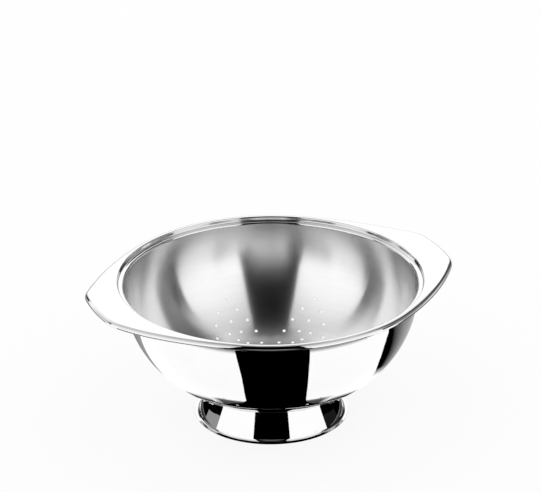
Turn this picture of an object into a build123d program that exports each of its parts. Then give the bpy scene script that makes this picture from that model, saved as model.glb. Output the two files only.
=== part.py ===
from build123d import *
import os
from math import asin, atan2, cos, degrees, radians, sin, sqrt

# Footed stainless steel colander, in millimetres. The origin is the centre of the foot where it
# stands on the table, +X runs along the two ear handles and +Z is up. The bowl with its step, flange
# and ears is one pressed sheet, and the foot is a second pressed sheet, joined to it by spot welds.

# Sheet thickness of both pressings
sheet = 0.6

# Bowl section, on its inside face: flat floor, corner arc, side arc and upright wall
opening_radius = 138.4
side_radius = 106.1
corner_radius = 52.2
side_start_angle = 28.5
foot_height = 32.1

# Step under the rim: the wall turns out to a ledge, and a short riser carries the flange
belt_height = 2.4
wall_bend = 2.2
ledge_width = 4.9
ledge_bend = 1.2
riser_height = 3.9
riser_lean = 0.7
flange_bend = 1.2

# Flange: a narrow round rim at front and back, drawn out to a long ear at each side
rim_land = 1.3
roll_radius = 4.0
lip_depth = 4.2
ear_overhang = 26.0
ear_lift = 2.0
flank_radius = 320.0
flank_start_angle = 56.5
ear_end_radius = 190.0
ear_corner_radius = 38.0

# Drain holes: fans on the wall and rings on the floor
hole_radius = 1.5
fan_count = 8
floor_ring_margin = 8.5
floor_ring_counts = (8, 8, 16)

# Foot ring: flange under the bowl's floor, leaning wall and turned-out lip
foot_lean = 9.4
foot_lip_reach = 4.0
foot_lip_bend = 3.0
neck_reach = 2.0
neck_bend = 2.5
foot_flange_width = 14.0

# Spot welds between the floor and the foot's flange
weld_count = 6
weld_radius = 2.2
weld_clearance = 0.05
weld_bite = 0.3

# How far cutting and trimming bodies run past what they cut
overrun = 2.0

# Places of the holes in one fan, as pairs of angles in degrees: the slope of the wall at the hole,
# and the turn about the bowl's axis to each side of the fan's middle line
fan_places = (
    (51.5, 0.0),
    (45.3, 5.2),
    (39.0, 0.0),
    (38.6, 9.5),
    (32.0, 3.8),
    (31.3, 13.5),
    (25.9, 0.0),
    (19.7, 5.7),
    (17.9, 15.9),
    (11.6, 0.0),
    (7.2, 12.0),
)

# Heights and radii that follow from the sizes above
floor_radius = opening_radius - side_radius + (side_radius - corner_radius) * sin(radians(side_start_angle))
floor_top = foot_height + sheet
corner_center_height = floor_top + corner_radius
side_center_radius = opening_radius - side_radius
side_center_height = corner_center_height + (side_radius - corner_radius) * cos(radians(side_start_angle))
ledge_height = side_center_height + belt_height
rim_height = ledge_height + riser_height
riser_foot_radius = opening_radius + ledge_width
riser_top_radius = riser_foot_radius + riser_lean
seam_radius = riser_top_radius + flange_bend + rim_land / 2
lift_start = riser_top_radius + flange_bend + rim_land
rim_radius = lift_start + roll_radius
ear_reach = rim_radius + ear_overhang
lift_radius = ((ear_reach - lift_start) ** 2 + ear_lift**2) / (2 * ear_lift)
foot_neck_radius = floor_radius + neck_reach
foot_wall_radius = foot_neck_radius + foot_lean
foot_radius = foot_wall_radius + foot_lip_reach
foot_flange_inner = foot_neck_radius - foot_flange_width
weld_circle_radius = (foot_flange_inner + floor_radius) / 2
floor_ring_pitch = (foot_flange_inner - floor_ring_margin) / len(floor_ring_counts)


def flange_outline(inset):
    """Draw the flange's outline from above, moved in by inset, as tangent arcs."""
    # The rim's round stretch is centred on the bowl, and each next arc starts where the last one ends.
    flank_offset = flank_radius - rim_radius
    flank_center = Vector(
        -flank_offset * cos(radians(flank_start_angle)),
        -flank_offset * sin(radians(flank_start_angle)),
    )
    end_center = Vector(ear_reach - ear_end_radius, 0)
    # The ear's corner arc touches the flank and the end from inside, on the ear's side of the line
    # between their centres.
    to_flank = flank_radius - ear_corner_radius
    to_end = ear_end_radius - ear_corner_radius
    between = end_center - flank_center
    along = (between.length**2 + to_flank**2 - to_end**2) / (2 * between.length)
    across = sqrt(to_flank**2 - along**2)
    forward = between.normalized()
    corner_center = flank_center + forward * along + Vector(forward.Y, -forward.X) * across
    flank_end = corner_center - flank_center
    flank_end_angle = degrees(atan2(flank_end.Y, flank_end.X))
    end_start = corner_center - end_center
    end_start_angle = degrees(atan2(end_start.Y, end_start.X))
    CenterArc((0, 0), rim_radius - inset, flank_start_angle, 90 - flank_start_angle)
    CenterArc(
        flank_center,
        flank_radius - inset,
        flank_end_angle,
        flank_start_angle - flank_end_angle,
    )
    CenterArc(
        corner_center,
        ear_corner_radius - inset,
        end_start_angle,
        flank_end_angle - end_start_angle,
    )
    CenterArc(end_center, ear_end_radius - inset, 0, end_start_angle)
    mirror(about=Plane.YZ)
    mirror(about=Plane.XZ)


def flange_blank(inset, drop, depth):
    """Make a lid shaped like the flange, from drop to depth under its top face, with a rolled edge."""
    lift_center = (lift_start, rim_height + lift_radius)
    lift_angle = degrees(asin((ear_reach - lift_start + overrun) / lift_radius))
    with BuildPart() as blank:
        with BuildSketch(Plane.XZ):
            with BuildLine():
                top = Line((0, rim_height - drop), (lift_start, rim_height - drop))
                top_lift = CenterArc(lift_center, lift_radius + drop, -90, lift_angle)
                bottom = Line((0, rim_height - depth), (lift_start, rim_height - depth))
                bottom_lift = CenterArc(lift_center, lift_radius + depth, -90, lift_angle)
                Line(top_lift @ 1, bottom_lift @ 1)
                Line(top @ 0, bottom @ 0)
            make_face()
            mirror(about=Plane.YZ)
        extrude(amount=rim_radius + overrun, both=True)
        with BuildSketch(Plane.XY.offset(rim_height)):
            with BuildLine():
                flange_outline(inset)
            make_face()
        extrude(amount=depth + ear_lift, both=True, mode=Mode.INTERSECT)
        top_faces = blank.faces().filter_by(lambda face: face.normal_at().Z > cos(radians(45)))
        rim_edges = top_faces.edges().filter_by(GeomType.LINE, reverse=True)
        fillet(rim_edges, radius=roll_radius - inset)
    return blank.part


def wall_plane(slope, turn):
    """Give the plane on the inside face where the wall slopes by slope, with its Z square to the sheet."""
    center_radius = floor_radius
    center_height = corner_center_height
    arc_radius = corner_radius
    if slope > side_start_angle:
        center_radius = side_center_radius
        center_height = side_center_height
        arc_radius = side_radius
    out = sin(radians(slope))
    down = cos(radians(slope))
    radius = center_radius + arc_radius * out
    height = center_height - arc_radius * down
    east = cos(radians(turn))
    north = sin(radians(turn))
    return Plane(
        origin=(radius * east, radius * north, height),
        x_dir=(-north, east, 0),
        z_dir=(out * east, out * north, -down),
    )


def fan_planes():
    """List the planes of one fan's holes, with each place off the middle line on both sides."""
    planes = []
    for slope, turn in fan_places:
        planes.append(wall_plane(slope, turn))
        if turn > 0:
            planes.append(wall_plane(slope, -turn))
    return planes


flange_top = flange_blank(0, 0, lip_depth)
flange_hollow = flange_blank(sheet, sheet, lip_depth + overrun)

# Bowl: the turned section carries the floor, wall and step, and the flange is joined on at the seam
with BuildPart() as bowl:
    add(flange_top)
    add(flange_hollow, mode=Mode.SUBTRACT)
    with BuildSketch(Plane.XY.offset(rim_height)):
        Circle(seam_radius)
    extrude(amount=lip_depth + overrun, both=True, mode=Mode.SUBTRACT)
    with BuildSketch(Plane.XZ):
        with BuildLine():
            Line((0, floor_top), (floor_radius, floor_top))
            CenterArc((floor_radius, corner_center_height), corner_radius, -90, side_start_angle)
            CenterArc(
                (side_center_radius, side_center_height),
                side_radius,
                side_start_angle - 90,
                90 - side_start_angle,
            )
            FilletPolyline(
                (opening_radius, side_center_height),
                (opening_radius, ledge_height),
                (riser_foot_radius, ledge_height),
                (riser_top_radius, rim_height),
                (seam_radius, rim_height),
                radius=(wall_bend, ledge_bend, flange_bend),
            )
            offset(amount=sheet, side=Side.RIGHT)
        make_face()
    revolve(axis=Axis.Z)
    with PolarLocations(0, fan_count):
        with Locations(*fan_planes()):
            Cylinder(hole_radius, sheet + overrun, mode=Mode.SUBTRACT)
    with BuildSketch(Plane.XY.offset(foot_height - overrun)):
        Circle(hole_radius)
        for ring, count in enumerate(floor_ring_counts, start=1):
            with PolarLocations(ring * floor_ring_pitch, count):
                Circle(hole_radius)
    extrude(amount=sheet + 2 * overrun, mode=Mode.SUBTRACT)
    with BuildSketch(Plane.XY.offset(foot_height)):
        with PolarLocations(weld_circle_radius, weld_count):
            Circle(weld_radius + weld_clearance)
    extrude(amount=weld_bite, mode=Mode.SUBTRACT)

# Foot ring: its flange lies flat under the floor and its lip stands on the table
with BuildPart() as foot_ring:
    with BuildSketch(Plane.XZ):
        with BuildLine():
            FilletPolyline(
                (foot_flange_inner, foot_height),
                (foot_neck_radius, foot_height),
                (foot_wall_radius, sheet),
                (foot_radius, sheet),
                radius=(neck_bend, foot_lip_bend),
            )
            offset(amount=sheet, side=Side.RIGHT)
        make_face()
    revolve(axis=Axis.Z)
    with BuildSketch(Plane.XY.offset(foot_height)):
        with PolarLocations(weld_circle_radius, weld_count):
            Circle(weld_radius + weld_clearance)
    extrude(amount=-sheet, mode=Mode.SUBTRACT)

# Spot welds: each nugget fills its hole in the flange and bites into the floor above
with BuildPart() as spot_welds:
    with BuildSketch(Plane.XY.offset(foot_height - sheet)):
        with PolarLocations(weld_circle_radius, weld_count):
            Circle(weld_radius)
    extrude(amount=sheet + weld_bite)

bowl.part.label = "bowl"
foot_ring.part.label = "foot_ring"
spot_welds.part.label = "spot_welds"

os.makedirs("parts", exist_ok=True)
export_step(bowl.part, "parts/bowl.step")
export_step(foot_ring.part, "parts/foot_ring.step")
export_step(spot_welds.part, "parts/spot_welds.step")
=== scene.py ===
from math import atan2, cos, degrees, pi, radians, sin, sqrt, tan

import bpy
import numpy as np
from mathutils import Matrix, Vector


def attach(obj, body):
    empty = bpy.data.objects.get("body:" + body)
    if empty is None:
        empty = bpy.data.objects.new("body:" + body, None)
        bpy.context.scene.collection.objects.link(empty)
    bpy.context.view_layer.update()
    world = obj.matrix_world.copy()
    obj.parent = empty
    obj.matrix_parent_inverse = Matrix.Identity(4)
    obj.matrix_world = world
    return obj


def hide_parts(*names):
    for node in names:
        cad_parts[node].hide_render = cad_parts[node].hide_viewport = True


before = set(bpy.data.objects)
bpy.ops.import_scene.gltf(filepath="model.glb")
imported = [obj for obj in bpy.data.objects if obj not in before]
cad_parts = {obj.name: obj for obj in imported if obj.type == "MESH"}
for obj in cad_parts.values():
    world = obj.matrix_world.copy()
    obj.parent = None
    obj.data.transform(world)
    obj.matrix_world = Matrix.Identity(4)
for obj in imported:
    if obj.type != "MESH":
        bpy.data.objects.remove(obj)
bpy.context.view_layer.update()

# Sizes are in millimetres and angles in degrees; meshes are written in metres.
MM = 0.001

# Sheet and bowl section
SHEET = 0.6
OPENING_RADIUS = 138.4
SIDE_RADIUS = 106.1
CORNER_RADIUS = 52.2
SIDE_START_ANGLE = 28.5
FOOT_HEIGHT = 32.1

# Step under the rim
BELT_HEIGHT = 2.4
WALL_BEND = 2.2
LEDGE_WIDTH = 4.9
LEDGE_BEND = 1.2
RISER_HEIGHT = 3.9
RISER_LEAN = 0.7
FLANGE_BEND = 1.2

# Flange and ears
RIM_LAND = 1.3
ROLL_RADIUS = 4.0
LIP_DEPTH = 4.2
EAR_OVERHANG = 26.0
EAR_LIFT = 2.0
FLANK_RADIUS = 320.0
FLANK_START_ANGLE = 56.5
EAR_END_RADIUS = 190.0
EAR_CORNER_RADIUS = 38.0

# Drain holes, and how far the punch that cuts them stands out of the sheet on each side
HOLE_RADIUS = 1.5
HOLE_ROUNDING = 0.12
PUNCH_INSIDE = 0.6
PUNCH_OUTSIDE = 0.8
FAN_COUNT = 8
FLOOR_RING_MARGIN = 8.5
FLOOR_RING_COUNTS = (8, 8, 16)

# Places of one fan's holes: the wall's slope there, and the turn to each side of the fan's middle
FAN_PLACES = (
    (51.5, 0.0),
    (45.3, 5.2),
    (39.0, 0.0),
    (38.6, 9.5),
    (32.0, 3.8),
    (31.3, 13.5),
    (25.9, 0.0),
    (19.7, 5.7),
    (17.9, 15.9),
    (11.6, 0.0),
    (7.2, 12.0),
)

# Foot ring
FOOT_LEAN = 9.4
FOOT_LIP_REACH = 4.0
FOOT_LIP_BEND = 3.0
NECK_REACH = 2.0
NECK_BEND = 2.5
FOOT_FLANGE_WIDTH = 14.0

# Spot welds, with the section of a weld mark: radius, and how far it stands down from the flange
WELD_COUNT = 6
WELD_RADIUS = 2.2
WELD_SECTION = (
    (0.0, 0.02),
    (0.7, 0.03),
    (1.2, 0.10),
    (1.5, 0.16),
    (1.75, 0.17),
    (2.0, 0.12),
    (WELD_RADIUS, 0.0),
    (WELD_RADIUS, -0.3),
)

# Heights and radii that follow
FLOOR_RADIUS = OPENING_RADIUS - SIDE_RADIUS + (SIDE_RADIUS - CORNER_RADIUS) * sin(radians(SIDE_START_ANGLE))
FLOOR_TOP = FOOT_HEIGHT + SHEET
CORNER_CENTER = (FLOOR_RADIUS, FLOOR_TOP + CORNER_RADIUS)
SIDE_CENTER = (
    OPENING_RADIUS - SIDE_RADIUS,
    CORNER_CENTER[1] + (SIDE_RADIUS - CORNER_RADIUS) * cos(radians(SIDE_START_ANGLE)),
)
LEDGE_HEIGHT = SIDE_CENTER[1] + BELT_HEIGHT
RIM_HEIGHT = LEDGE_HEIGHT + RISER_HEIGHT
RISER_FOOT_RADIUS = OPENING_RADIUS + LEDGE_WIDTH
RISER_TOP_RADIUS = RISER_FOOT_RADIUS + RISER_LEAN
SEAM_RADIUS = RISER_TOP_RADIUS + FLANGE_BEND + RIM_LAND / 2
LIFT_START = RISER_TOP_RADIUS + FLANGE_BEND + RIM_LAND
RIM_RADIUS = LIFT_START + ROLL_RADIUS
EAR_REACH = RIM_RADIUS + EAR_OVERHANG
LIFT_RADIUS = ((EAR_REACH - LIFT_START) ** 2 + EAR_LIFT**2) / (2 * EAR_LIFT)
FOOT_NECK_RADIUS = FLOOR_RADIUS + NECK_REACH
FOOT_WALL_RADIUS = FOOT_NECK_RADIUS + FOOT_LEAN
FOOT_RADIUS = FOOT_WALL_RADIUS + FOOT_LIP_REACH
FOOT_FLANGE_INNER = FOOT_NECK_RADIUS - FOOT_FLANGE_WIDTH
WELD_CIRCLE_RADIUS = (FOOT_FLANGE_INNER + FLOOR_RADIUS) / 2
FLOOR_RING_PITCH = (FOOT_FLANGE_INNER - FLOOR_RING_MARGIN) / len(FLOOR_RING_COUNTS)

# How many angles of the outline's normal are looked at to space the bowl's columns evenly
NORMAL_SAMPLES = 9001

# How fine the meshes are: columns round the axis, and steps along each run of a section
QUARTER_COLUMNS = 240
FOOT_COLUMNS = 480
FLOOR_STEPS = 14
CORNER_STEPS = 14
SIDE_STEPS = 52
LEDGE_BEND_STEPS = 8
FLANGE_STEPS = 12
ROLL_STEPS = 10
EDGE_STEPS = 6
FOOT_BEND_STEPS = 14
FOOT_WALL_STEPS = 24
HOLE_SIDES = 32
WELD_SIDES = 40

# The bowl's material slots
POLISHED, SATIN, PUNCHED = range(3)


# Sections


def line_samples(start, end, steps):
    """Sample a straight run of a section: rows of r, z and the unit normal on its right."""
    start, end = np.array(start), np.array(end)
    along = (end - start) / np.linalg.norm(end - start)
    share = np.linspace(0, 1, steps + 1)[:, None]
    points = start + (end - start) * share
    normal = np.repeat([[along[1], -along[0]]], steps + 1, axis=0)
    return np.hstack([points, normal])


def arc_samples(center, radius, start_angle, sweep, steps):
    """Sample an arc, with the normal pointing away from its centre."""
    angles = np.radians(start_angle + sweep * np.linspace(0, 1, steps + 1))
    normal = np.stack([np.cos(angles), np.sin(angles)], axis=1)
    return np.hstack([np.array(center) + radius * normal, normal])


def filleted_samples(points, radii, steps):
    """Sample an open polyline with rounded corners: rows of r, z and the unit normal on its right."""
    points = [np.array(point) for point in points]
    before = (points[1] - points[0]) / np.linalg.norm(points[1] - points[0])
    rows = [[*points[0], before[1], -before[0]]]
    for corner, after_point, radius in zip(points[1:-1], points[2:], radii):
        after = (after_point - corner) / np.linalg.norm(after_point - corner)
        turn = atan2(before[0] * after[1] - before[1] * after[0], float(before @ after))
        side = 1 if turn > 0 else -1
        start = corner - before * radius * tan(abs(turn) / 2)
        center = start + side * radius * np.array([-before[1], before[0]])
        right = np.array([before[1], -before[0]])
        for step in range(steps + 1):
            angle = turn * step / steps
            normal = np.array(
                [
                    right[0] * cos(angle) - right[1] * sin(angle),
                    right[0] * sin(angle) + right[1] * cos(angle),
                ]
            )
            rows.append([*(center + side * radius * normal), *normal])
        before = after
    rows.append([*points[-1], before[1], -before[0]])
    return np.array(rows)


def joined(*runs):
    """Join section runs that end where the next one starts."""
    kept = [run if index == 0 else run[1:] for index, run in enumerate(runs)]
    return np.vstack(kept)


def turned(section, angles):
    """Turn section samples about Z: points and normals of one ring for each sample."""
    east, north = np.cos(angles), np.sin(angles)
    rings = []
    for r, z, nr, nz in section:
        points = np.stack([r * east, r * north, np.full_like(east, z)], axis=1)
        normals = np.stack([nr * east, nr * north, np.full_like(east, nz)], axis=1)
        rings.append((points, normals))
    return rings


def flipped(rings):
    """The same rings with their normals turned round."""
    return [(points, -normals) for points, normals in rings]


def shifted(section, distance):
    """Move section samples along their normals."""
    moved = section.copy()
    moved[:, :2] += moved[:, 2:] * distance
    return moved


# Meshes


def signed_volume(points, faces):
    """Six times the volume inside quads, above zero where they face outwards."""
    a, b, c, d = (points[faces[:, index]] for index in range(4))
    first = np.einsum("ij,ij->i", a, np.cross(b, c)).sum()
    second = np.einsum("ij,ij->i", a, np.cross(c, d)).sum()
    return first + second


def shell_mesh(name, rings, row_materials, flat_rows=()):
    """Build a closed shell from rings that run once round its section, and store its true normals."""
    count = len(rings[0][0])
    points = np.vstack([ring[0] for ring in rings]) * MM
    normals = np.vstack([ring[1] for ring in rings])
    columns = np.arange(count)
    after = (columns + 1) % count
    faces = []
    for row in range(len(rings)):
        low = row * count
        high = (row + 1) % len(rings) * count
        faces.append(np.stack([low + columns, low + after, high + after, high + columns], axis=1))
    faces = np.vstack(faces)
    if signed_volume(points, faces) < 0:
        faces = faces[:, ::-1]
    mesh = bpy.data.meshes.new(name)
    mesh.from_pydata(points.tolist(), [], faces.tolist())
    row_of_face = np.repeat(np.arange(len(rings)), count)
    mesh.polygons.foreach_set("material_index", np.array(row_materials)[row_of_face].astype(np.int32))
    flat = np.isin(row_of_face, np.array(flat_rows, dtype=int))
    mesh.polygons.foreach_set("use_smooth", ~flat)
    corner = normals[faces.ravel()]
    corner[np.repeat(flat, 4)] = 0
    stored = mesh.attributes.new("true_normal", "FLOAT_VECTOR", "CORNER")
    stored.data.foreach_set("vector", corner.astype(np.float32).ravel())
    mesh.update()
    return mesh


def use_true_normals(mesh):
    """Shade the mesh by the normals stored on it, where it has them."""
    stored = mesh.attributes["true_normal"]
    normals = np.zeros(len(mesh.loops) * 3, dtype=np.float32)
    stored.data.foreach_get("vector", normals)
    normals = normals.reshape(-1, 3)
    length = np.linalg.norm(normals, axis=1)
    # Stored normals are about one long, and flat and punched faces have none.
    good = length > 0.5
    normals[good] /= length[good][:, None]
    normals[~good] = 0
    mesh.attributes.remove(stored)
    mesh.normals_split_custom_set(normals.tolist())


def as_piece(name, mesh, materials, node):
    """Put a mesh in the scene as a piece that stands for a CAD node."""
    for material in materials:
        mesh.materials.append(material)
    piece = bpy.data.objects.new(name, mesh)
    bpy.context.scene.collection.objects.link(piece)
    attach(piece, "root")
    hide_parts(node)
    return piece


# Flange


def outline_arcs():
    """The outline's quarter from the ear's end: each arc's centre, radius and last angle of its normal."""
    flank_offset = FLANK_RADIUS - RIM_RADIUS
    flank_center = np.array(
        [
            -flank_offset * cos(radians(FLANK_START_ANGLE)),
            -flank_offset * sin(radians(FLANK_START_ANGLE)),
        ]
    )
    end_center = np.array([EAR_REACH - EAR_END_RADIUS, 0.0])
    to_flank = FLANK_RADIUS - EAR_CORNER_RADIUS
    to_end = EAR_END_RADIUS - EAR_CORNER_RADIUS
    between = end_center - flank_center
    distance = np.linalg.norm(between)
    forward = between / distance
    along = (distance**2 + to_flank**2 - to_end**2) / (2 * distance)
    across = sqrt(to_flank**2 - along**2)
    corner_center = flank_center + forward * along + np.array([forward[1], -forward[0]]) * across
    flank_end = corner_center - flank_center
    end_start = corner_center - end_center
    return (
        (end_center, EAR_END_RADIUS, degrees(atan2(end_start[1], end_start[0]))),
        (corner_center, EAR_CORNER_RADIUS, degrees(atan2(flank_end[1], flank_end[0]))),
        (flank_center, FLANK_RADIUS, FLANK_START_ANGLE),
        (np.zeros(2), RIM_RADIUS, 90.0),
    )


def outline_points(normal_angles, inset):
    """Points of the outline moved in by inset, where its normal has the given angles from 0 to 90."""
    points = np.zeros((len(normal_angles), 2))
    # The first arc starts before 0, so that it takes the angle 0 too.
    start = -1.0
    for center, radius, end in outline_arcs():
        chosen = (normal_angles > start) & (normal_angles <= end)
        angles = np.radians(normal_angles[chosen])
        points[chosen] = center + (radius - inset) * np.stack([np.cos(angles), np.sin(angles)], axis=1)
        start = end
    return points


def quarter_normals():
    """Angles of the outline's normal that spread the columns evenly about the bowl's axis."""
    dense = np.linspace(0, 90, NORMAL_SAMPLES)
    points = outline_points(dense, ROLL_RADIUS)
    bearing = np.degrees(np.arctan2(points[:, 1], points[:, 0]))
    wanted = np.linspace(0, 90, QUARTER_COLUMNS + 1)
    return np.interp(wanted, bearing, dense)


def all_round(quarter_points):
    """Carry a quarter's plan points or normals all the way round, without doubling the ends."""
    x, y = quarter_points[:, 0], quarter_points[:, 1]
    first = np.stack([x, y], axis=1)
    second = np.stack([-x, y], axis=1)[::-1]
    third = np.stack([-x, -y], axis=1)
    fourth = np.stack([x, -y], axis=1)[::-1]
    return np.vstack([first[:-1], second[:-1], third[:-1], fourth[:-1]])


def flange_height(plan):
    """Height of the flange's top face over plan points, and its unit normals."""
    out = np.maximum(np.abs(plan[:, 0]) - LIFT_START, 0)
    height = RIM_HEIGHT + LIFT_RADIUS - np.sqrt(LIFT_RADIUS**2 - out**2)
    slope = out / np.sqrt(LIFT_RADIUS**2 - out**2) * np.sign(plan[:, 0])
    normals = np.stack([-slope, np.zeros_like(slope), np.ones_like(slope)], axis=1)
    return height, normals / np.linalg.norm(normals, axis=1)[:, None]


def flange_rings(bearings):
    """Rings of the flange outside the seam: top face out to the lip's tip, then the underside back in."""
    normal_angles = quarter_normals()
    turn = np.radians(normal_angles)
    out = all_round(np.stack([np.cos(turn), np.sin(turn)], axis=1))
    out3 = np.hstack([out, np.zeros((len(out), 1))])
    seam = SEAM_RADIUS * np.stack([np.cos(bearings), np.sin(bearings)], axis=1)
    inner = all_round(outline_points(normal_angles, ROLL_RADIUS))
    inner_roll, tip_radius = ROLL_RADIUS - SHEET, SHEET / 2

    def ring(plan, drop, lean):
        """One ring at a depth under the top face, with its normal leaning out by an angle from up."""
        height, up = flange_height(plan)
        points = np.hstack([plan, (height - drop)[:, None]])
        normals = up * cos(lean) + out3 * sin(lean)
        return points, normals / np.linalg.norm(normals, axis=1)[:, None]

    top, under, tip = [], [], []
    for share in np.linspace(0, 1, FLANGE_STEPS + 1)[1:]:
        plan = seam + (inner - seam) * share
        top.append(ring(plan, 0, 0))
        under.append(ring(plan, SHEET, 0))
    for lean in np.linspace(0, pi / 2, ROLL_STEPS + 1)[1:]:
        plan = all_round(outline_points(normal_angles, ROLL_RADIUS * (1 - sin(lean))))
        top.append(ring(plan, ROLL_RADIUS * (1 - cos(lean)), lean))
        plan = all_round(outline_points(normal_angles, SHEET + inner_roll * (1 - sin(lean))))
        under.append(ring(plan, SHEET + inner_roll * (1 - cos(lean)), lean))
    for lean in np.linspace(pi / 2, 3 * pi / 2, EDGE_STEPS + 1):
        plan = all_round(outline_points(normal_angles, tip_radius - tip_radius * sin(lean)))
        tip.append(ring(plan, LIP_DEPTH - tip_radius - tip_radius * cos(lean), lean))
    return top + tip + flipped(under)[::-1]


# Bowl


def bowl_section():
    """The bowl's inside face from the centre hole to the seam, and how many samples the satin part has."""
    hole_edge = HOLE_RADIUS + HOLE_ROUNDING
    floor = line_samples((hole_edge, FLOOR_TOP), (FLOOR_RADIUS, FLOOR_TOP), FLOOR_STEPS)
    corner = arc_samples(CORNER_CENTER, CORNER_RADIUS, -90, SIDE_START_ANGLE, CORNER_STEPS)
    side = arc_samples(SIDE_CENTER, SIDE_RADIUS, SIDE_START_ANGLE - 90, 90 - SIDE_START_ANGLE, SIDE_STEPS)
    step = filleted_samples(
        (
            (OPENING_RADIUS, SIDE_CENTER[1]),
            (OPENING_RADIUS, LEDGE_HEIGHT),
            (RISER_FOOT_RADIUS, LEDGE_HEIGHT),
            (RISER_TOP_RADIUS, RIM_HEIGHT),
            (SEAM_RADIUS, RIM_HEIGHT),
        ),
        (WALL_BEND, LEDGE_BEND, FLANGE_BEND),
        LEDGE_BEND_STEPS,
    )
    satin_rows = len(joined(floor, corner, side))
    return joined(floor, corner, side, step), satin_rows


def bowl_mesh():
    """Build the bowl's whole shell: satin inside, polished step, flange, lip and outside."""
    inner = all_round(outline_points(quarter_normals(), ROLL_RADIUS))
    bearings = np.unwrap(np.arctan2(inner[:, 1], inner[:, 0]))
    section, satin_rows = bowl_section()
    inside = flipped(turned(section, bearings))
    outside = turned(shifted(section, SHEET), bearings)[::-1]
    hole_top = turned(np.array([[HOLE_RADIUS, FLOOR_TOP - HOLE_ROUNDING, -1, 0]]), bearings)
    hole_bottom = turned(np.array([[HOLE_RADIUS, FOOT_HEIGHT, -1, 0]]), bearings)
    rings = hole_top + inside + flange_rings(bearings) + outside + hole_bottom
    rows = len(rings)
    materials = [PUNCHED] + [SATIN] * (satin_rows - 1) + [POLISHED] * (rows - satin_rows)
    materials[-1] = PUNCHED
    return shell_mesh("bowl_shell", rings, materials, flat_rows=(0, rows - 2, rows - 1))


def wall_place(slope, turn):
    """A point on the inside face where the wall slopes by slope, and the direction out through it."""
    center, radius = CORNER_CENTER, CORNER_RADIUS
    if slope > SIDE_START_ANGLE:
        center, radius = SIDE_CENTER, SIDE_RADIUS
    out, down = sin(radians(slope)), cos(radians(slope))
    r = center[0] + radius * out
    east, north = cos(radians(turn)), sin(radians(turn))
    origin = Vector((r * east, r * north, center[1] - radius * down))
    return origin, Vector((out * east, out * north, -down))


def hole_places():
    """Every drain hole but the centre one: its point on the inside face and the direction out."""
    places = []
    for fan in range(FAN_COUNT):
        middle = 360 * fan / FAN_COUNT
        for slope, turn in FAN_PLACES:
            places.append(wall_place(slope, middle + turn))
            if turn > 0:
                places.append(wall_place(slope, middle - turn))
    for ring, count in enumerate(FLOOR_RING_COUNTS, start=1):
        for index in range(count):
            angle = 2 * pi * index / count
            radius = ring * FLOOR_RING_PITCH
            origin = Vector((radius * cos(angle), radius * sin(angle), FLOOR_TOP))
            places.append((origin, Vector((0, 0, -1))))
    return places


def hole_cutter():
    """One mesh with a punch for each drain hole, flared where it leaves the inside face."""
    flare = HOLE_RADIUS + HOLE_ROUNDING
    profile = (
        (-PUNCH_INSIDE, flare + PUNCH_INSIDE),
        (HOLE_ROUNDING, HOLE_RADIUS),
        (SHEET + PUNCH_OUTSIDE, HOLE_RADIUS),
    )
    angles = [2 * pi * side / HOLE_SIDES for side in range(HOLE_SIDES)]
    points, faces = [], []
    for origin, out in hole_places():
        across = out.orthogonal().normalized()
        third = out.cross(across)
        base = len(points)
        for depth, radius in profile:
            for angle in angles:
                point = origin + out * depth + (across * cos(angle) + third * sin(angle)) * radius
                points.append(point * MM)
        for level in range(len(profile) - 1):
            low, high = base + level * HOLE_SIDES, base + (level + 1) * HOLE_SIDES
            for side in range(HOLE_SIDES):
                after = (side + 1) % HOLE_SIDES
                faces.append((low + side, low + after, high + after, high + side))
        faces.append(tuple(base + side for side in reversed(range(HOLE_SIDES))))
        last = base + (len(profile) - 1) * HOLE_SIDES
        faces.append(tuple(last + side for side in range(HOLE_SIDES)))
    mesh = bpy.data.meshes.new("hole_cutter")
    mesh.from_pydata(points, [], faces)
    for polygon in mesh.polygons:
        polygon.material_index = PUNCHED
    return mesh


def cut_holes(piece, materials):
    """Punch the drain holes through the bowl."""
    mesh = hole_cutter()
    for material in materials:
        mesh.materials.append(material)
    cutter = bpy.data.objects.new("hole_cutter", mesh)
    bpy.context.scene.collection.objects.link(cutter)
    boolean = piece.modifiers.new("holes", "BOOLEAN")
    boolean.operation = "DIFFERENCE"
    boolean.solver = "MANIFOLD"
    boolean.object = cutter
    graph = bpy.context.evaluated_depsgraph_get()
    cut = bpy.data.meshes.new_from_object(piece.evaluated_get(graph))
    whole = piece.data
    piece.modifiers.clear()
    piece.data = cut
    bpy.data.meshes.remove(whole)
    bpy.data.objects.remove(cutter)
    bpy.data.meshes.remove(mesh)


# Foot and welds


def foot_mesh():
    """Build the foot ring's shell from its section, with rounded sheet edges."""
    section = filleted_samples(
        (
            (FOOT_FLANGE_INNER, FOOT_HEIGHT),
            (FOOT_NECK_RADIUS, FOOT_HEIGHT),
            (FOOT_WALL_RADIUS, SHEET),
            (FOOT_RADIUS, SHEET),
        ),
        (NECK_BEND, FOOT_LIP_BEND),
        FOOT_BEND_STEPS,
    )
    # The wall's long run gets more rings, so that its reflections stay straight.
    wall_top = FOOT_BEND_STEPS + 1
    wall = line_samples(section[wall_top, :2], section[wall_top + 1, :2], FOOT_WALL_STEPS)
    section = np.vstack([section[:wall_top], wall, section[wall_top + 2 :]])
    edge_radius = SHEET / 2
    section[-1, 0] -= edge_radius
    section[0, 0] += edge_radius
    lip_edge = arc_samples((section[-1, 0], SHEET / 2), edge_radius, 90, -180, EDGE_STEPS)
    flange_edge = arc_samples((section[0, 0], FOOT_HEIGHT - SHEET / 2), edge_radius, 270, -180, EDGE_STEPS)
    angles = 2 * pi * np.arange(FOOT_COLUMNS) / FOOT_COLUMNS
    top = flipped(turned(section[:-1], angles))
    under = turned(shifted(section, SHEET)[1:-1][::-1], angles)
    rings = top + turned(lip_edge, angles) + under + turned(flange_edge[:-1], angles)
    return shell_mesh("foot_shell", rings, [POLISHED] * len(rings))


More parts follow.
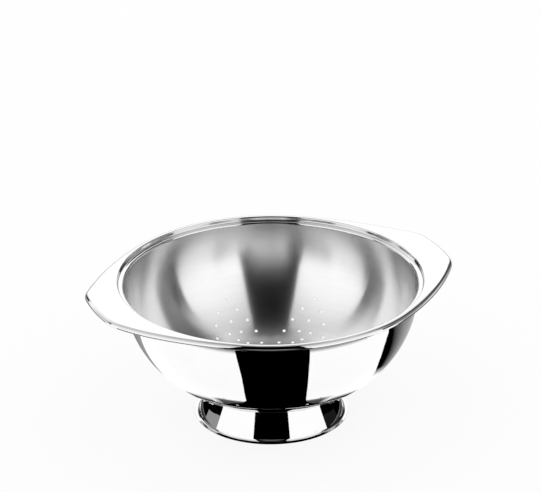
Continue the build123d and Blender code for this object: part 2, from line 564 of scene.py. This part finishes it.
def weld_mesh():
    """Build the weld marks: flush discs with a pressed dimple and a low ridge round it."""
    points, faces = [], []
    rings = len(WELD_SECTION) - 1
    for weld in range(WELD_COUNT):
        turn = 2 * pi * weld / WELD_COUNT
        x, y = WELD_CIRCLE_RADIUS * cos(turn), WELD_CIRCLE_RADIUS * sin(turn)
        center = Vector((x, y, FOOT_HEIGHT - SHEET))
        base = len(points)
        for radius, proud in WELD_SECTION[1:]:
            for side in range(WELD_SIDES):
                angle = 2 * pi * side / WELD_SIDES
                points.append(center + Vector((radius * cos(angle), radius * sin(angle), -proud)))
        points.append(center - Vector((0, 0, WELD_SECTION[0][1])))
        points.append(center - Vector((0, 0, WELD_SECTION[-1][1])))
        middle, back = base + rings * WELD_SIDES, base + rings * WELD_SIDES + 1
        last = base + (rings - 1) * WELD_SIDES
        for side in range(WELD_SIDES):
            after = (side + 1) % WELD_SIDES
            faces.append((middle, base + after, base + side))
            for ring in range(rings - 1):
                low, high = base + ring * WELD_SIDES, base + (ring + 1) * WELD_SIDES
                faces.append((low + side, low + after, high + after, high + side))
            faces.append((back, last + side, last + after))
    mesh = bpy.data.meshes.new("weld_marks")
    mesh.from_pydata([point * MM for point in points], [], faces)
    mesh.shade_smooth()
    return mesh


# Material nodes


def node(tree, kind, inputs=None, **settings):
    """Add a node, set its properties, and set or link its inputs."""
    made = tree.nodes.new(kind)
    for key, value in settings.items():
        setattr(made, key, value)
    for key, value in (inputs or {}).items():
        if isinstance(value, bpy.types.NodeSocket):
            tree.links.new(value, made.inputs[key])
        else:
            made.inputs[key].default_value = value
    return made


def maths(tree, operation, first, second=0.0, third=0.0):
    """Add a maths node and give its result."""
    made = node(tree, "ShaderNodeMath", {0: first, 1: second, 2: third}, operation=operation)
    return made.outputs[0]


def vector_maths(tree, operation, inputs, output="Vector"):
    """Add a vector maths node and give its result."""
    return node(tree, "ShaderNodeVectorMath", inputs, operation=operation).outputs[output]


def new_material(name):
    """Start an empty node material."""
    material = bpy.data.materials.new(name)
    material.use_nodes = True
    material.node_tree.nodes.clear()
    return material, material.node_tree


def spot_in_mm(tree):
    """Position in millimetres."""
    geometry = node(tree, "ShaderNodeNewGeometry")
    return vector_maths(tree, "SCALE", {0: geometry.outputs["Position"], "Scale": 1 / MM})


def ring_place(tree, spot):
    """Radius, height and the direction outwards at a position."""
    split = node(tree, "ShaderNodeSeparateXYZ", {0: spot})
    flat = node(tree, "ShaderNodeCombineXYZ", {0: split.outputs[0], 1: split.outputs[1]})
    radius = vector_maths(tree, "LENGTH", {0: flat.outputs[0]}, "Value")
    outward = vector_maths(tree, "NORMALIZE", {0: flat.outputs[0]})
    return radius, split.outputs[2], outward


def cloudy(tree, spot, scale, detail):
    """Noise without a direction, at a scale per millimetre."""
    inputs = {"Vector": spot, "Scale": scale, "Detail": detail}
    return node(tree, "ShaderNodeTexNoise", inputs).outputs["Fac"]


def ring_grain(tree, rings, turns, fineness):
    """Noise that runs in long streaks round the axis: few changes round, many across."""
    radius, height, outward = rings
    along = vector_maths(tree, "SCALE", {0: outward, "Scale": turns})
    split = node(tree, "ShaderNodeSeparateXYZ", {0: along})
    across = maths(tree, "MULTIPLY", radius, fineness)
    spot = node(tree, "ShaderNodeCombineXYZ", {0: split.outputs[0], 1: split.outputs[1], 2: across})
    inputs = {
        "Vector": spot.outputs[0],
        "W": maths(tree, "MULTIPLY", height, fineness),
        "Scale": 1.0,
        "Detail": 3.0,
    }
    return node(tree, "ShaderNodeTexNoise", inputs, noise_dimensions="4D").outputs["Fac"]


def around(tree, fac, middle, spread):
    """Turn noise into values about a middle."""
    return maths(tree, "MULTIPLY_ADD", maths(tree, "SUBTRACT", fac, 0.5), spread, middle)


def grey(tree, value):
    """A grey with a given level."""
    return node(tree, "ShaderNodeCombineColor", {0: value, 1: value, 2: value}).outputs[0]


def bump(tree, height, strength, depth, under=None):
    """A normal tilted by a height, of a depth in millimetres, on top of the one under it."""
    inputs = {"Height": height, "Strength": strength, "Distance": depth * MM}
    if under is not None:
        inputs["Normal"] = under
    return node(tree, "ShaderNodeBump", inputs).outputs[0]


def metal(tree, color, roughness, **more):
    """A metal surface."""
    inputs = {"Base Color": color, "Metallic": 1.0, "Roughness": roughness, **more}
    return node(tree, "ShaderNodeBsdfPrincipled", inputs).outputs[0]


def show(tree, surface):
    """Give a surface to the material's output."""
    node(tree, "ShaderNodeOutputMaterial", {"Surface": surface})


# Steel finishes

# Levels are shares of light that the steel reflects. FINE_SHARE is the finer grain's part in the satin.
MIRROR_LEVEL = 0.73
MIRROR_ROUGHNESS = 0.03
LEAST_ROUGHNESS = 0.012
SATIN_LEVEL = 0.86
SATIN_ROUGHNESS = 0.17
SATIN_ANISOTROPY = 0.97
FINE_SHARE = 0.6

# The satin has a second layer, rougher by SOFTER and by LEAST_SOFT at least, that takes SOFT_SHARE.
SOFTER = 0.1
LEAST_SOFT = 0.28
SOFT_ANISOTROPY = 0.85
SOFT_SHARE = 0.27

# Cut walls of the holes, and welds, whose tints are rows of noise and colour
PUNCHED_LEVEL = 0.78
PUNCHED_ROUGHNESS = 0.22
WELD_ROUGHNESS = 0.42
WELD_TINTS = ((0.35, (0.36, 0.35, 0.37, 1)), (0.68, (0.62, 0.59, 0.54, 1)))


def mirror_steel(name):
    """Polished steel: faint buffing lines, cloudy polish and a slight wave in the pressed sheet."""
    material, tree = new_material(name)
    spot = spot_in_mm(tree)
    cloud = cloudy(tree, spot, scale=0.035, detail=3.0)
    wave = cloudy(tree, spot, scale=0.012, detail=1.0)
    buffing = ring_grain(tree, ring_place(tree, spot), turns=9.0, fineness=2.6)
    clouded = around(tree, cloud, MIRROR_ROUGHNESS, spread=0.05)
    polish = around(tree, buffing, clouded, spread=0.03)
    waved = bump(tree, wave, strength=0.25, depth=0.6)
    lined = bump(tree, buffing, strength=0.03, depth=0.05, under=waved)
    color = grey(tree, around(tree, cloud, MIRROR_LEVEL, spread=0.04))
    roughness = maths(tree, "MAXIMUM", polish, LEAST_ROUGHNESS)
    show(tree, metal(tree, color, roughness, Normal=lined))
    return material


def satin_steel(name):
    """Steel brushed in rings: the light spreads across the brushing, up and down the wall."""
    material, tree = new_material(name)
    spot = spot_in_mm(tree)
    rings = ring_place(tree, spot)
    fine = ring_grain(tree, rings, turns=4.0, fineness=2.4)
    coarse = ring_grain(tree, rings, turns=1.2, fineness=0.35)
    coarse_part = maths(tree, "MULTIPLY", coarse, 1 - FINE_SHARE)
    grain = maths(tree, "MULTIPLY_ADD", fine, FINE_SHARE, coarse_part)
    cloud = cloudy(tree, spot, scale=0.02, detail=2.0)
    rough = around(tree, cloud, around(tree, grain, SATIN_ROUGHNESS, spread=0.09), spread=0.05)
    softer = maths(tree, "MAXIMUM", maths(tree, "ADD", rough, SOFTER), LEAST_SOFT)
    color = grey(tree, around(tree, grain, SATIN_LEVEL, spread=0.2))
    brushed = bump(tree, fine, strength=0.12, depth=0.06)
    geometry = node(tree, "ShaderNodeNewGeometry")
    axis = node(tree, "ShaderNodeCombineXYZ", {2: 1.0}).outputs[0]
    ringwise = vector_maths(tree, "CROSS_PRODUCT", {0: axis, 1: rings[2]})
    meridian = vector_maths(tree, "CROSS_PRODUCT", {0: ringwise, 1: geometry.outputs["Normal"]})
    layers = [
        metal(tree, color, roughness, Anisotropic=anisotropy, Tangent=meridian, Normal=brushed)
        for roughness, anisotropy in ((rough, SATIN_ANISOTROPY), (softer, SOFT_ANISOTROPY))
    ]
    blend = node(tree, "ShaderNodeMixShader", {0: SOFT_SHARE, 1: layers[0], 2: layers[1]})
    show(tree, blend.outputs[0])
    return material


def punched_steel(name):
    """The cut walls of the drain holes: bright, with short marks from the punch."""
    material, tree = new_material(name)
    marks = cloudy(tree, spot_in_mm(tree), scale=2.5, detail=2.0)
    color = grey(tree, around(tree, marks, PUNCHED_LEVEL, spread=0.2))
    show(tree, metal(tree, color, around(tree, marks, PUNCHED_ROUGHNESS, spread=0.2)))
    return material


def weld_steel(name):
    """Spot welds: dull steel with a patchy straw and blue tint."""
    material, tree = new_material(name)
    grain = cloudy(tree, spot_in_mm(tree), scale=1.4, detail=4.0)
    ramp = node(tree, "ShaderNodeValToRGB", {0: grain})
    for stop, (position, color) in zip(ramp.color_ramp.elements, WELD_TINTS):
        stop.position = position
        stop.color = color
    roughness = around(tree, grain, WELD_ROUGHNESS, spread=0.3)
    pitted = bump(tree, grain, strength=0.35, depth=0.12)
    show(tree, metal(tree, ramp.outputs[0], roughness, Normal=pitted))
    return material


# Studio

# The camera and the studio share a frame that is turned about Z from the part's own. In it the camera
# stands in front, towards -Y.
STUDIO_TURN = -23.0
STUDIO = Matrix.Rotation(radians(STUDIO_TURN), 4, "Z")
CAMERA_PLACE = (-0.3, -2561.4, 1311.3)
CAMERA_PITCH = 24.0
CAMERA_ROLL = -0.4
CAMERA_LENS = 200.0
CAMERA_SENSOR = 36.0
CAMERA_CLIP = (50.0, 60000.0)

# White surroundings have a level of 1 to the camera and of SURROUND in reflections. The floor's shadow
# has SHADOW_SHARE of its full depth.
WHITE = (1, 1, 1, 1)
SURROUND = 1.35
SHADOW_SHARE = 0.14
FLOOR_COLOR = (0.95, 0.95, 0.95, 1)
FLOOR_REACH = 12000.0
FLOOR_LIFT = -0.05

# Only reflections see the cards, whose levels run from 0, black, to 1, white. A place on the studio's
# dome has a climb, from the horizon in front over the top to the one behind, and a side, which is how
# much of its direction goes out sideways. A reach sets a card closer or further out than the dome.
DOME = 3600.0

# Black runner from the foot to the horizon in front: rows of distance, left edge and right edge. The rows
# closest to the foot widen it into painted shadow, where the floor just in front of the foot lies in the
# shade of the bowl and foot.
RUNNER_ROWS = (
    (50, -54, 54),
    (75, -46, 46),
    (86, -36, 43.5),
    (98, -32.5, 46),
    (118, -38, 52),
    (140, -44.5, 60),
    (168, -54.5, 71),
    (188, -63, 80),
    (212, -74.5, 91),
    (242, -90, 106),
    (279, -110, 124.5),
    (314, -130, 142),
)
RUNNER_LIFT = 0.9
RUNNER_END_AZIMUTH = 25.6

# Dark flag over the camera, seen from its apex: rows of climb with its half width, the level at its
# edges and the level in its middle, and how far each column's level is from edge to middle
FLAG_APEX = Vector((0, -27, 0))
FLAG_CLIMBS = range(-2, 141)
FLAG_WIDTHS = (
    (-2, 0.48),
    (8, 0.455),
    (15, 0.43),
    (24, 0.385),
    (34, 0.36),
    (53, 0.30),
    (62, 0.27),
    (71, 0.234),
    (78, 0.20),
    (90, 0.17),
    (96, 0.24),
    (105, 0.28),
    (140, 0.3),
)
FLAG_EDGES = ((92, 0.0), (102, 0.3), (116, 0.45), (140, 0.65))
FLAG_LEVELS = (
    (8, 0.0),
    (10, 0.34),
    (19, 0.22),
    (25, 0.08),
    (29, 0.0),
    (92, 0.0),
    (104, 0.14),
    (116, 0.3),
    (140, 0.6),
)
FLAG_SHARES = (0, 0, 0.6, 0.95, 1, 1, 1, 0.95, 0.6, 0, 0)

# Grey ceiling: rows of climb with a level for each of the sides
CEILING_SIDES = (0, 0.32, 0.5, 0.65, 0.8, 0.93, 0.99)
CEILING_LEVELS = (
    (30, (0.74, 0.79, 0.86, 0.88, 0.9, 0.93, 0.93)),
    (45, (0.7, 0.76, 0.84, 0.86, 0.88, 0.91, 0.93)),
    (60, (0.6, 0.67, 0.78, 0.84, 0.86, 0.89, 0.93)),
    (72, (0.51, 0.56, 0.7, 0.8, 0.84, 0.88, 0.93)),
    (85, (0.47, 0.51, 0.63, 0.74, 0.8, 0.86, 0.93)),
    (97, (0.51, 0.47, 0.51, 0.6, 0.74, 0.84, 0.93)),
    (112, (0.42, 0.26, 0.33, 0.56, 0.74, 0.88, 0.93)),
    (126, (0.47, 0.37, 0.19, 0.33, 0.65, 0.88, 0.93)),
    (140, (0.47, 0.42, 0.14, 0.23, 0.65, 0.88, 0.93)),
)
CEILING_STEP = 2.5
CEILING_COLUMNS = 49
CEILING_REACH = 1.03

# Band low behind the object: rows of side and level, and a white window in its middle
BACK_CLIMBS = range(141, 180)
BACK_LEVELS = ((0.44, 0.4), (0.5, 0.02), (0.66, 0.02), (0.8, 0.75), (0.9, 1.0))
BACK_COLUMNS = 73
WINDOW_CLIMBS = range(147, 167)
WINDOW_LEVELS = ((0.34, 1.0), (0.37, 0.4))

# Dark wall high at the right, in front of the ceiling and the band: rows of side and level
RIGHT_HIGH_CLIMBS = range(106, 161, 2)
RIGHT_HIGH_LEVELS = ((0.36, 0.3), (0.4, 0.05), (0.6, 0.07), (0.8, 0.17), (0.985, 0.26))
RIGHT_HIGH_COLUMNS = 26
RIGHT_HIGH_REACH = 0.99

# Dark gaps between the soft boxes: name, azimuth of the end on the horizon, elevation of the end behind,
# and rows of angle across the gap and level
GAPS = (
    (
        "right_gap",
        78,
        75,
        ((0, 0.04), (9, 0.05), (13, 0.16), (18, 0.3), (22, 0.45), (27, 0.65), (33, 0.82), (40, 1.0)),
    ),
    (
        "left_gap",
        -85,
        77,
        ((0, 0.05), (8, 0.12), (11, 0.25), (15, 0.45), (22, 0.55), (30, 0.62), (36, 0.8), (42, 1.0)),
    ),
)
GAP_STEPS = 24

# How much the gaps fade to white with the height of their direction
GAP_VEIL = ((0.13, 1), (0.23, 0), (0.45, 0), (0.72, 0.45), (0.95, 0.6))

# Upright cards round the foot, painted shade: they stand dark under the bowl, where the floor round the foot
# lies in its shadow, and only reflections see them. Rows of azimuth, height, and height of the grey part
FOOT_SHADE = (
    (59.0, 24.0, 13.5),
    (63.5, 22.0, 13.0),
    (70.5, 21.0, 11.0),
    (77.7, 16.0, 9.5),
    (81.0, 15.0, 9.0),
    (81.6, 15.0, 0.6),
    (85.4, 13.0, 0.6),
    (93.2, 11.0, 0.6),
    (101.6, 3.5, 0.6),
    (106.0, 1.0, 0.6),
)
FOOT_SHADE_RADIUS = 85.0
FOOT_SHADE_LIFT = 0.5
FOOT_SHADE_BLEND = 0.3
# Levels of the painted shade round the foot: grey low at the left card's front, black elsewhere
FOOT_SHADE_GREY = 0.27
FOOT_SHADE_BLACK = 0.01

# Front edge of the dark floor at the right: rows of distance and azimuth
STRIPE_EDGE = (
    (133, 87.1),
    (151, 83.2),
    (170, 81.2),
    (203, 81.1),
    (226, 81.7),
    (246, 82.8),
    (269, 83.9),
    (294, 85.6),
    (330, 86.5),
    (900, 86.5),
)
NO_EDGE = ((0, -360),)


def run(first, last, step, level):
    """Azimuths from first to last, all with one level."""
    return tuple((azimuth, level) for azimuth in range(first, last + 1, step))


# Cards on the floor: name, lift, rows of distance and level, columns of azimuth and level, and front
# edge. The cards at the left and right share their rows.
SIDE_FLOOR_ROWS = (
    (120, 1.0),
    (133, 0.4),
    (145, 0.0),
    *((distance, 0.0) for distance, _ in STRIPE_EDGE[1:]),
)
FLOOR_CARDS = (
    (
        "far_floor",
        0.3,
        ((320, 1.0), (350, 0.3), (650, 0.3), (900, 0.07), (1000, 0.07)),
        run(-66, 66, 4, 0.07),
        NO_EDGE,
    ),
    ("front_horizon", 1.2, ((900, 0.07), (DOME, 0.07)), run(-66, 66, 4, 0.07), NO_EDGE),
    (
        "far_floor_behind",
        0.3,
        ((320, 1.0), (350, 0.3), (1500, 0.3), (1900, 1.0)),
        run(100, 260, 5, 0.3),
        NO_EDGE,
    ),
    (
        "right_floor",
        0.6,
        SIDE_FLOOR_ROWS,
        ((79, 1.0), (79.5, 0.0), (91, 0.0), (97, 0.1), (108, 0.26), (125, 0.38), (150, 0.42), (165, 1.0)),
        STRIPE_EDGE,
    ),
    (
        "right_far_floor",
        0.75,
        ((270, 0.0), (3400, 0.0)),
        ((97, 0.1), (108, 0.24), (125, 0.3), (150, 0.3), (158, 1.0)),
        NO_EDGE,
    ),
    ("foot_shadow", 0.45, ((74, 0.02), (82, 0.05), (96, 1.0)), run(-180, 180, 5, 0.0), NO_EDGE),
    (
        "front_shadow",
        0.5,
        ((80, 0.05), (92, 0.07), (97, 0.14), (102, 1.0)),
        ((-52, 1.0),) + run(-42, 42, 6, 0.0) + ((52, 1.0),),
        NO_EDGE,
    ),
    (
        "left_floor",
        0.6,
        SIDE_FLOOR_ROWS,
        ((-168, 1.0), (-155, 0.3), (-140, 0.1), (-128, 0.2), (-112, 0.27), (-106, 0.3), (-105.5, 1.0)),
        NO_EDGE,
    ),
)


def studio_world():
    """White all round, at the surroundings' level in reflections."""
    world = bpy.data.worlds.new("studio")
    bpy.context.scene.world = world
    world.use_nodes = True
    tree = world.node_tree
    tree.nodes.clear()
    path = node(tree, "ShaderNodeLightPath")
    strength = maths(tree, "MULTIPLY_ADD", path.outputs["Is Glossy Ray"], SURROUND - 1, 1.0)
    background = node(tree, "ShaderNodeBackground", {"Color": WHITE, "Strength": strength})
    node(tree, "ShaderNodeOutputWorld", {"Surface": background.outputs[0]})
    world.cycles.sampling_method = "NONE"


def floor_material():
    """Pale floor: the camera and reflections see it white with a faint soft shadow."""
    material, tree = new_material("pale_floor")
    path = node(tree, "ShaderNodeLightPath")
    plainly = maths(tree, "MAXIMUM", path.outputs["Is Camera Ray"], path.outputs["Is Glossy Ray"])
    glow = node(tree, "ShaderNodeEmission", {"Color": WHITE, "Strength": 1.0})
    matt = node(tree, "ShaderNodeBsdfDiffuse", {"Color": FLOOR_COLOR})
    share = maths(tree, "MULTIPLY_ADD", plainly, SHADOW_SHARE - 1, 1.0)
    plain = node(tree, "ShaderNodeMixShader", {0: share, 1: glow.outputs[0], 2: matt.outputs[0]})
    lift = maths(tree, "MULTIPLY", path.outputs["Is Glossy Ray"], SURROUND - 1)
    lamps = node(tree, "ShaderNodeEmission", {"Color": WHITE, "Strength": lift})
    mixed = node(tree, "ShaderNodeAddShader", {0: plain.outputs[0], 1: lamps.outputs[0]})
    show(tree, mixed.outputs[0])
    material.cycles.emission_sampling = "NONE"
    return material


def card_material():
    """Cards of black to white cloth, at the level stored on their corners."""
    material, tree = new_material("studio_card")
    level = node(tree, "ShaderNodeAttribute", attribute_name="level").outputs["Fac"]
    glow = node(tree, "ShaderNodeEmission", {"Color": grey(tree, level), "Strength": SURROUND})
    show(tree, glow.outputs[0])
    material.cycles.emission_sampling = "NONE"
    return material


def stage_object(name, points, faces, material):
    """Put the floor or a card in the studio's frame."""
    mesh = bpy.data.meshes.new(name)
    mesh.from_pydata([Vector(point) * MM for point in points], [], faces)
    mesh.materials.append(material)
    staged = bpy.data.objects.new(name, mesh)
    staged.matrix_world = STUDIO
    bpy.context.scene.collection.objects.link(staged)
    return staged


def card(name, cloth, grid, levels):
    """A card over a grid of points, with a level of light for each. Only reflections see it."""
    rows, columns = len(grid), len(grid[0])
    points = [point for row in grid for point in row]
    faces = []
    for row in range(rows - 1):
        for column in range(columns - 1):
            low = row * columns + column
            faces.append((low, low + 1, low + columns + 1, low + columns))
    staged = stage_object(name, points, faces, cloth)
    stored = staged.data.attributes.new("level", "FLOAT", "POINT")
    stored.data.foreach_set("value", [level for row in levels for level in row])
    staged.visible_camera = False
    staged.visible_shadow = False
    staged.visible_diffuse = False


def at(place, rows):
    """Read the value at a place from rows of place and value."""
    return np.interp(place, *zip(*rows))


def aim(azimuth, elevation):
    """The direction at an azimuth, counted to the right from the camera's side, and an elevation."""
    level = cos(radians(elevation))
    return Vector((sin(radians(azimuth)) * level, -cos(radians(azimuth)) * level, sin(radians(elevation))))


def sky(side, climb):
    """The direction of a place on the dome."""
    level = sqrt(1 - side**2)
    return Vector((side, -level * cos(radians(climb)), level * sin(radians(climb))))


def dome_card(name, cloth, rows, reach=1.0, center=Vector((0, 0, 0))):
    """A card on the dome, from rows of climb, sides and levels."""
    grid = [[center + sky(side, climb) * DOME * reach for side in sides] for climb, sides, _ in rows]
    card(name, cloth, grid, [levels for _, _, levels in rows])


def runner_grid():
    """Points along the runner's two edges, from the foot out to the horizon."""
    lift = Vector((0, 0, RUNNER_LIFT))
    grid = []
    for distance, left, right in RUNNER_ROWS:
        grid.append([Vector((x, -distance, 0)) + lift for x in (left, right)])
    ends = (-RUNNER_END_AZIMUTH, RUNNER_END_AZIMUTH)
    grid.append([FLAG_APEX + aim(azimuth, 0) * DOME + lift for azimuth in ends])
    return grid


def flag_rows():
    """The flag narrows as it climbs and opens again behind the top, where it pales."""
    rows = []
    for climb in FLAG_CLIMBS:
        edge, middle = at(climb, FLAG_EDGES), at(climb, FLAG_LEVELS)
        sides = np.linspace(-1, 1, len(FLAG_SHARES)) * at(climb, FLAG_WIDTHS)
        rows.append((climb, sides, [edge + (middle - edge) * share for share in FLAG_SHARES]))
    return rows


def ceiling_rows():
    """The ceiling is paler at the sides and darker towards the back."""
    climbs, table = zip(*CEILING_LEVELS)
    sides = np.linspace(-CEILING_SIDES[-1], CEILING_SIDES[-1], CEILING_COLUMNS)
    rows = []
    for climb in np.arange(climbs[0], climbs[-1] + CEILING_STEP, CEILING_STEP):
        levels = [np.interp(climb, climbs, column) for column in zip(*table)]
        rows.append((climb, sides, np.interp(np.abs(sides), CEILING_SIDES, levels)))
    return rows


def back_rows():
    """The band behind is grey in the middle, with a white window, then black, and white at its ends."""
    reach = BACK_LEVELS[-1][0]
    sides = np.linspace(-reach, reach, BACK_COLUMNS)
    rows = []
    for climb in BACK_CLIMBS:
        table = WINDOW_LEVELS + BACK_LEVELS if climb in WINDOW_CLIMBS else BACK_LEVELS
        rows.append((climb, sides, at(np.abs(sides), table)))
    return rows


def right_high_rows():
    """The dark wall high at the right is darkest close to its inner edge."""
    sides = np.linspace(RIGHT_HIGH_LEVELS[0][0], RIGHT_HIGH_LEVELS[-1][0], RIGHT_HIGH_COLUMNS)
    return [(climb, sides, at(sides, RIGHT_HIGH_LEVELS)) for climb in RIGHT_HIGH_CLIMBS]


def gap_card(name, cloth, azimuth, top, shades):
    """The dark gap between two big soft boxes climbs from the horizon at one side to just behind the top."""
    start, end = aim(azimuth, 0), aim(180, top)
    across = start.cross(end).normalized()
    if across.y < 0:
        across = -across
    grid, levels = [], []
    for step in range(GAP_STEPS + 1):
        along = start.slerp(end, step / GAP_STEPS)
        veil = at(along.z, GAP_VEIL)
        turns = [radians(angle) for angle, _ in shades]
        grid.append([(along * cos(turn) + across * sin(turn)) * DOME for turn in turns])
        levels.append([level + (1 - level) * veil for _, level in shades])
    card(name, cloth, grid, levels)


def foot_shade_card(name, cloth, side):
    """A black card round one side of the foot, painted shade under the bowl that only reflections see. The
    left one is grey low at its front.
    """
    grid, levels = [], []
    for azimuth, top, grey_top in FOOT_SHADE:
        spot = aim(side * azimuth, 0) * FOOT_SHADE_RADIUS
        heights = (FOOT_SHADE_LIFT, grey_top, grey_top + FOOT_SHADE_BLEND, top)
        grid.append([spot + Vector((0, 0, height)) for height in heights])
        has_grey = side < 0 and grey_top > FOOT_SHADE_LIFT + FOOT_SHADE_BLEND
        low = FOOT_SHADE_GREY if has_grey else FOOT_SHADE_BLACK
        levels.append([low, low, 0.0, 0.0])
    card(name, cloth, grid, levels)


def floor_card(name, cloth, lift, rows, columns, edge):
    """A card flat on the floor, from its edge on, with the lighter of its row's and its column's level."""
    grid, levels = [], []
    for distance, row_level in rows:
        least = at(distance, edge)
        spots = [aim(max(azimuth, least), 0) * distance for azimuth, _ in columns]
        grid.append([spot + Vector((0, 0, lift)) for spot in spots])
        levels.append([max(level, row_level) for _, level in columns])
    card(name, cloth, grid, levels)


def add_camera():
    """Put the camera at the photograph's viewing angle."""
    pitch, roll = radians(CAMERA_PITCH), radians(CAMERA_ROLL)
    right, up = Vector((1, 0, 0)), Vector((0, sin(pitch), cos(pitch)))
    ahead = Vector((0, cos(pitch), -sin(pitch)))
    rolled_right = right * cos(roll) + up * sin(roll)
    rolled_up = up * cos(roll) - right * sin(roll)
    turn = Matrix((rolled_right, rolled_up, -ahead)).transposed().to_4x4()
    data = bpy.data.cameras.new("camera")
    data.lens = CAMERA_LENS
    data.sensor_width = CAMERA_SENSOR
    data.clip_start, data.clip_end = (distance * MM for distance in CAMERA_CLIP)
    camera = bpy.data.objects.new("camera", data)
    camera.matrix_world = Matrix.Translation(STUDIO @ Vector(CAMERA_PLACE) * MM) @ STUDIO @ turn
    bpy.context.scene.collection.objects.link(camera)
    bpy.context.scene.camera = camera
    bpy.context.scene.view_settings.view_transform = "Standard"


def build_studio():
    """Floor, reflecting cards, world and camera."""
    studio_world()
    signs = ((-1, -1), (1, -1), (1, 1), (-1, 1))
    corners = [(x * FLOOR_REACH, y * FLOOR_REACH, FLOOR_LIFT) for x, y in signs]
    stage_object("floor", corners, [(0, 1, 2, 3)], floor_material())
    cloth = card_material()
    runner = runner_grid()
    card("front_runner", cloth, runner, [[0.0, 0.0]] * len(runner))
    dome_card("front_flag", cloth, flag_rows(), center=FLAG_APEX)
    dome_card("ceiling", cloth, ceiling_rows(), CEILING_REACH)
    dome_card("back_band", cloth, back_rows())
    dome_card("right_high", cloth, right_high_rows(), RIGHT_HIGH_REACH)
    for name, azimuth, top, shades in GAPS:
        gap_card(name, cloth, azimuth, top, shades)
    foot_shade_card("left_foot_shade_card", cloth, -1)
    foot_shade_card("right_foot_shade_card", cloth, 1)
    for name, lift, rows, columns, edge in FLOOR_CARDS:
        floor_card(name, cloth, lift, rows, columns, edge)
    add_camera()


bowl_materials = (mirror_steel("polished_bowl"), satin_steel("satin_bowl"), punched_steel("punched_edge"))
bowl = as_piece("bowl_body", bowl_mesh(), bowl_materials, "bowl")
cut_holes(bowl, bowl_materials)
use_true_normals(bowl.data)
foot = as_piece("foot_body", foot_mesh(), (mirror_steel("polished_foot"),), "foot_ring")
use_true_normals(foot.data)
as_piece("spot_weld_marks", weld_mesh(), (weld_steel("weld_tint"),), "spot_welds")
build_studio()
